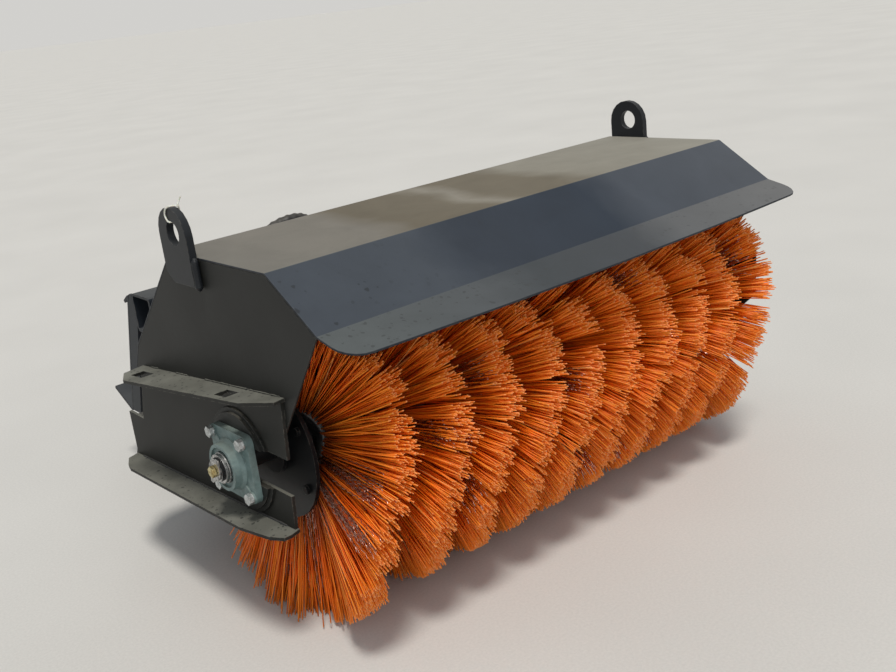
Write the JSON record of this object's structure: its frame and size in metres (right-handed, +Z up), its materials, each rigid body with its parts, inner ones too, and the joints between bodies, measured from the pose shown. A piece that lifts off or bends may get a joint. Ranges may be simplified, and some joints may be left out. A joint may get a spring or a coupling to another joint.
{
  "type": "skid steer angle broom",
  "caption": "Hydraulic angle broom for a skid steer loader: black steel hood over a wide orange wafer brush, side brackets, swing cylinder and leaning quick-attach plate.",
  "frame": {"origin": "middle of the whole object's footprint, on the ground", "axes": "+Z up; X along the brush, its bearing end at -X and its motor end at +X; -Y the hood's front lip, +Y the side that faces the loader"},
  "size_m": [1.779, 1.715, 1.0208],
  "materials": {
    "black_paint": "satin",
    "bristle": "matte",
    "cast_grey": "satin",
    "zinc": "satin",
    "yellow_zinc": "satin",
    "bright_steel": "polished",
    "hose_rubber": "matte",
    "white_tie": "matte"
  },
  "bodies": {
    "hitch": {"qa_plate": "black_paint", "side_post_left": "black_paint", "side_post_right": "black_paint", "cross_tube": "black_paint", "fork_upper": "black_paint", "fork_lower": "black_paint", "fork_gusset": "black_paint", "rod_bracket": "black_paint", "rod_pin": "zinc", "pivot_pin": "zinc", "stand_sleeve_left": "black_paint", "stand_sleeve_right": "black_paint", "stand_screw_left": "zinc", "stand_screw_right": "zinc"},
    "deck": {"rear_beam": "black_paint", "pivot_hub": "black_paint", "hood": "black_paint", "end_plate_left": "black_paint", "end_plate_right": "black_paint", "lug_left": "black_paint", "lug_right": "black_paint", "bracket_left": "black_paint", "bracket_right": "black_paint", "bearing_spacer": "black_paint", "bearing_housing": "cast_grey", "bearing_bolt_1": "zinc", "bearing_bolt_2": "zinc", "bearing_bolt_3": "zinc", "bearing_bolt_4": "zinc", "motor": "black_paint", "hose_1": "hose_rubber", "hose_2": "hose_rubber", "hose_clamp": "black_paint", "coupler_plate": "black_paint", "coupler_1": "bright_steel", "coupler_2": "bright_steel", "barrel_bracket": "black_paint", "barrel_pin": "zinc", "cable_tie": "white_tie"},
    "barrel": {"barrel": "black_paint"},
    "rod": {"rod": "bright_steel"},
    "brush": {"core_tube": "black_paint", "end_disc_left": "black_paint", "end_disc_right": "black_paint", "stub_shaft": "bright_steel", "bearing_inner_ring": "bright_steel", "keeper_plate": "bright_steel", "keeper_bolt": "yellow_zinc", "wafer_01": "bristle", "wafer_02": "bristle", "wafer_03": "bristle", "wafer_04": "bristle", "wafer_05": "bristle", "wafer_06": "bristle", "wafer_07": "bristle", "wafer_08": "bristle", "wafer_09": "bristle", "wafer_10": "bristle"},
    "stand_left": {"stand_leg_left": "black_paint"},
    "stand_right": {"stand_leg_right": "black_paint"}
  },
  "joints": [
    {"name": "swing", "type": "hinge", "parent": "hitch", "child": "deck", "pos_m": [-0.0331, 0.3105, 0.335], "axis": [0, 0, 1], "range_deg": [-25, 25]},
    {"name": "barrel_turn", "type": "hinge", "parent": "deck", "child": "barrel", "pos_m": [-0.30499, 0.18371, 0.445], "axis": [0, 0, 1], "range_deg": [-12.5, 12.5]},
    {"name": "rod_turn", "type": "hinge", "parent": "hitch", "child": "rod", "pos_m": [-0.15989, 0.58239, 0.445], "axis": [0, 0, 1], "range_deg": [-12.5, 12.5]},
    {"name": "brush_spin", "type": "hinge", "parent": "deck", "child": "brush", "pos_m": [-0.0331, -0.3745, 0.43], "axis": [1, 0, 0], "continuous": true},
    {"name": "stand_left_slide", "type": "slide", "parent": "hitch", "child": "stand_left", "axis": [0, 0, 1], "range_m": [0, 0.25]},
    {"name": "stand_right_slide", "type": "slide", "parent": "hitch", "child": "stand_right", "axis": [0, 0, 1], "range_m": [0, 0.25]}
  ],
  "couplings": [
    {"joint": "barrel_turn", "follows": "swing", "ratio": -0.5},
    {"joint": "rod_turn", "follows": "swing", "ratio": 0.5}
  ]
}
